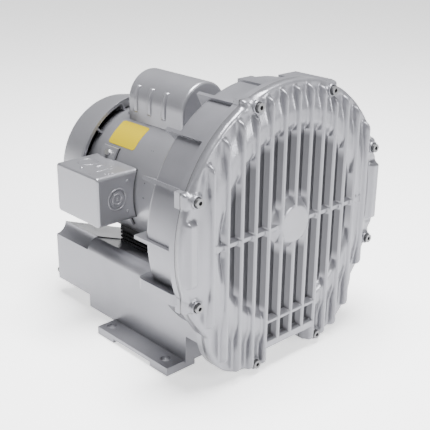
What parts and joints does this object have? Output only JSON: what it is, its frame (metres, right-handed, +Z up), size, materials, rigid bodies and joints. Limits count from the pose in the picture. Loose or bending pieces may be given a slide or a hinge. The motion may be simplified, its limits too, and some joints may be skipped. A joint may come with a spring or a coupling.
{
  "type": "side channel blower",
  "caption": "Side channel blower: finned round cover and housing on a muffler base with ports at the rear, close-coupled motor with junction box and capacitor cover.",
  "frame": {"origin": "on the floor plane, at the centre of the four foot holes", "axes": "+Z up; the shaft runs along Y, the finned cover faces -Y, the motor and ports face +Y; +X is on the right when facing the cover from the front"},
  "size_m": [0.315, 0.3328, 0.3275],
  "materials": {
    "cast_aluminium": "satin, sprayed silver grey over a cast skin",
    "bare_aluminium": "satin, machined casting",
    "painted_bells": "satin grey paint",
    "painted_steel": "satin grey paint",
    "painted_fan_cover": "satin grey paint",
    "screw_steel": "dark oxide",
    "zinc_steel": "bright zinc",
    "bearing_steel": "ground",
    "core_steel": "laminated, matt",
    "copper_winding": "varnished",
    "black_rubber": "matt",
    "black_plastic": "satin",
    "liner_foam": "open-cell, matt"
  },
  "bodies": {
    "frame": {"blower_housing": "cast_aluminium", "front_cover": "cast_aluminium", "cover_gasket": "black_rubber", "cover_screws": "screw_steel", "stator_core": "core_steel", "stator_windings": "copper_winding", "motor_shell": "painted_steel", "front_end_bell": "painted_bells", "rear_end_bell": "painted_bells", "through_bolts": "screw_steel", "motor_mount_screws": "screw_steel", "front_bearing_outer": "bearing_steel", "rear_bearing_outer": "bearing_steel", "wave_spring": "bearing_steel", "shaft_seal": "black_rubber", "fan_cover": "painted_fan_cover", "fan_cover_screws": "zinc_steel", "capacitor": "black_plastic", "capacitor_cover": "painted_steel", "capacitor_cover_screws": "zinc_steel", "junction_box": "painted_steel", "junction_box_gasket": "black_rubber", "junction_box_screws": "zinc_steel", "terminal_block": "black_plastic", "ground_screw": "zinc_steel", "port_block": "cast_aluminium", "port_block_gasket": "black_rubber", "port_block_screws": "screw_steel", "left_muffler_liner": "liner_foam", "right_muffler_liner": "liner_foam", "motor_pads": "black_rubber"},
    "rotor": {"motor_shaft": "bearing_steel", "impeller": "bare_aluminium", "impeller_key": "bearing_steel", "impeller_washer": "zinc_steel", "impeller_screw": "screw_steel", "rotor_core": "core_steel", "rotor_end_rings": "bare_aluminium", "front_bearing_inner": "bearing_steel", "rear_bearing_inner": "bearing_steel", "cooling_fan": "black_plastic", "fan_retaining_ring": "bearing_steel"},
    "front_ball_set": {"front_bearing_balls": "bearing_steel"},
    "rear_ball_set": {"rear_bearing_balls": "bearing_steel"}
  },
  "joints": [
    {"name": "rotor_spin", "type": "hinge", "parent": "frame", "child": "rotor", "pos_m": [0, 0, 0.17], "axis": [0, 1, 0], "continuous": true},
    {"name": "front_balls_roll", "type": "hinge", "parent": "frame", "child": "front_ball_set", "pos_m": [0, 0, 0.17], "axis": [0, 1, 0], "continuous": true},
    {"name": "rear_balls_roll", "type": "hinge", "parent": "frame", "child": "rear_ball_set", "pos_m": [0, 0, 0.17], "axis": [0, 1, 0], "continuous": true}
  ],
  "couplings": [
    {"joint": "front_balls_roll", "follows": "rotor_spin", "ratio": 0.3987},
    {"joint": "rear_balls_roll", "follows": "rotor_spin", "ratio": 0.3877}
  ]
}
